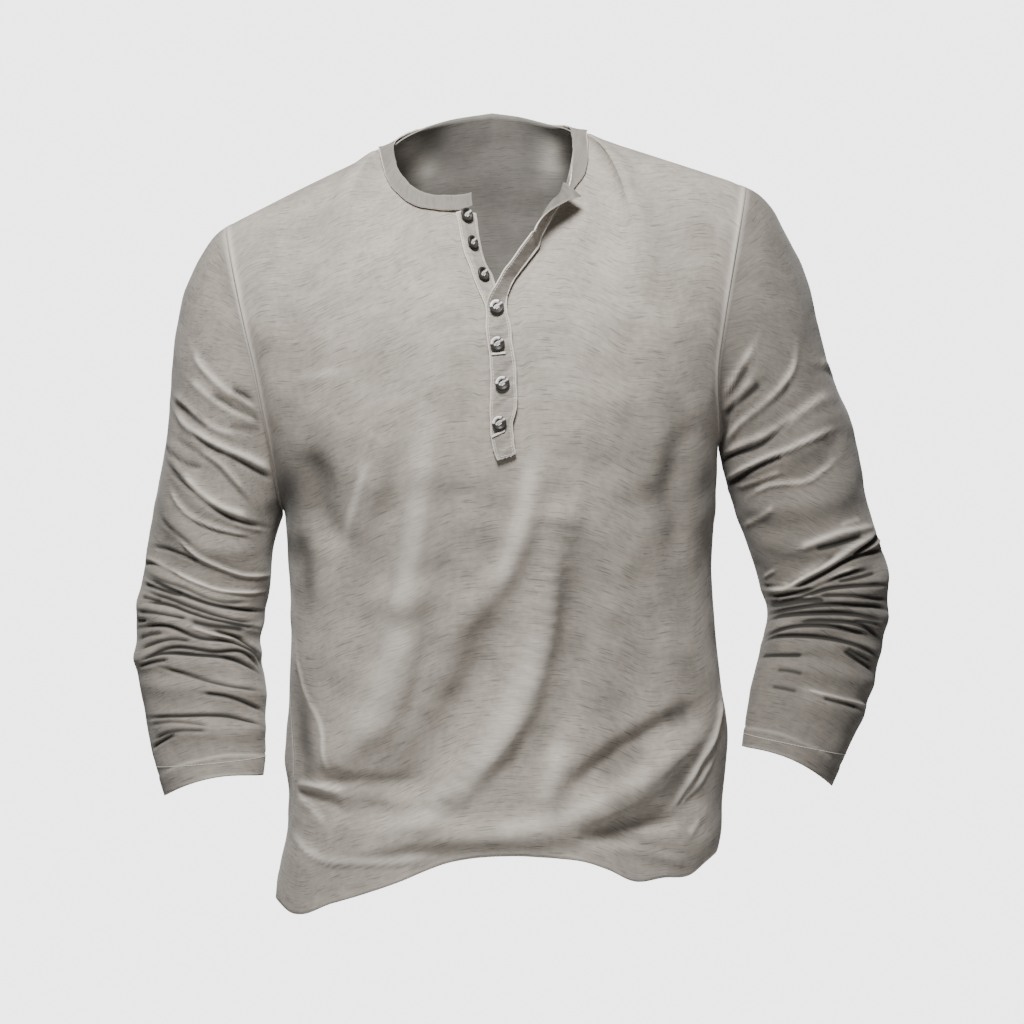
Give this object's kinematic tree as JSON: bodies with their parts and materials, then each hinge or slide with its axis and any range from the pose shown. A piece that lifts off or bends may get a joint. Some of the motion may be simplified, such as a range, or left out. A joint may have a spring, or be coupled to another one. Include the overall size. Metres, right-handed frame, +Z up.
{
  "type": "henley shirt",
  "caption": "Long-sleeved jersey henley shirt standing hollow as if worn, with a narrow neckband, an open half placket with round buttons, pushed-up sleeves and a wavy twisted hem.",
  "frame": {"origin": "midway between the two points where the shoulder seams meet the neckline, where a neck or a hanger holds the shirt", "axes": "+Z up, from the hem to the neck; -Y out of the front, where the placket is; +X to the wearer's left"},
  "size_m": [0.6909, 0.2784, 0.7377],
  "materials": {
    "jersey": "warm light grey melange slub jersey with faded seam edges",
    "jersey_trim": "the same jersey, doubled and pressed, a little lighter at its edges",
    "button": "dark grey-brown horn look, polished"
  },
  "bodies": {
    "root": {"front": "jersey", "back": "jersey", "sleeve_right": "jersey", "sleeve_left": "jersey", "neckband": "jersey_trim", "placket_under": "jersey_trim", "placket_over": "jersey_trim", "button_1": "button", "button_2": "button", "button_3": "button", "button_4": "button", "button_5": "button", "button_6": "button", "button_7": "button"}
  },
  "joints": []
}
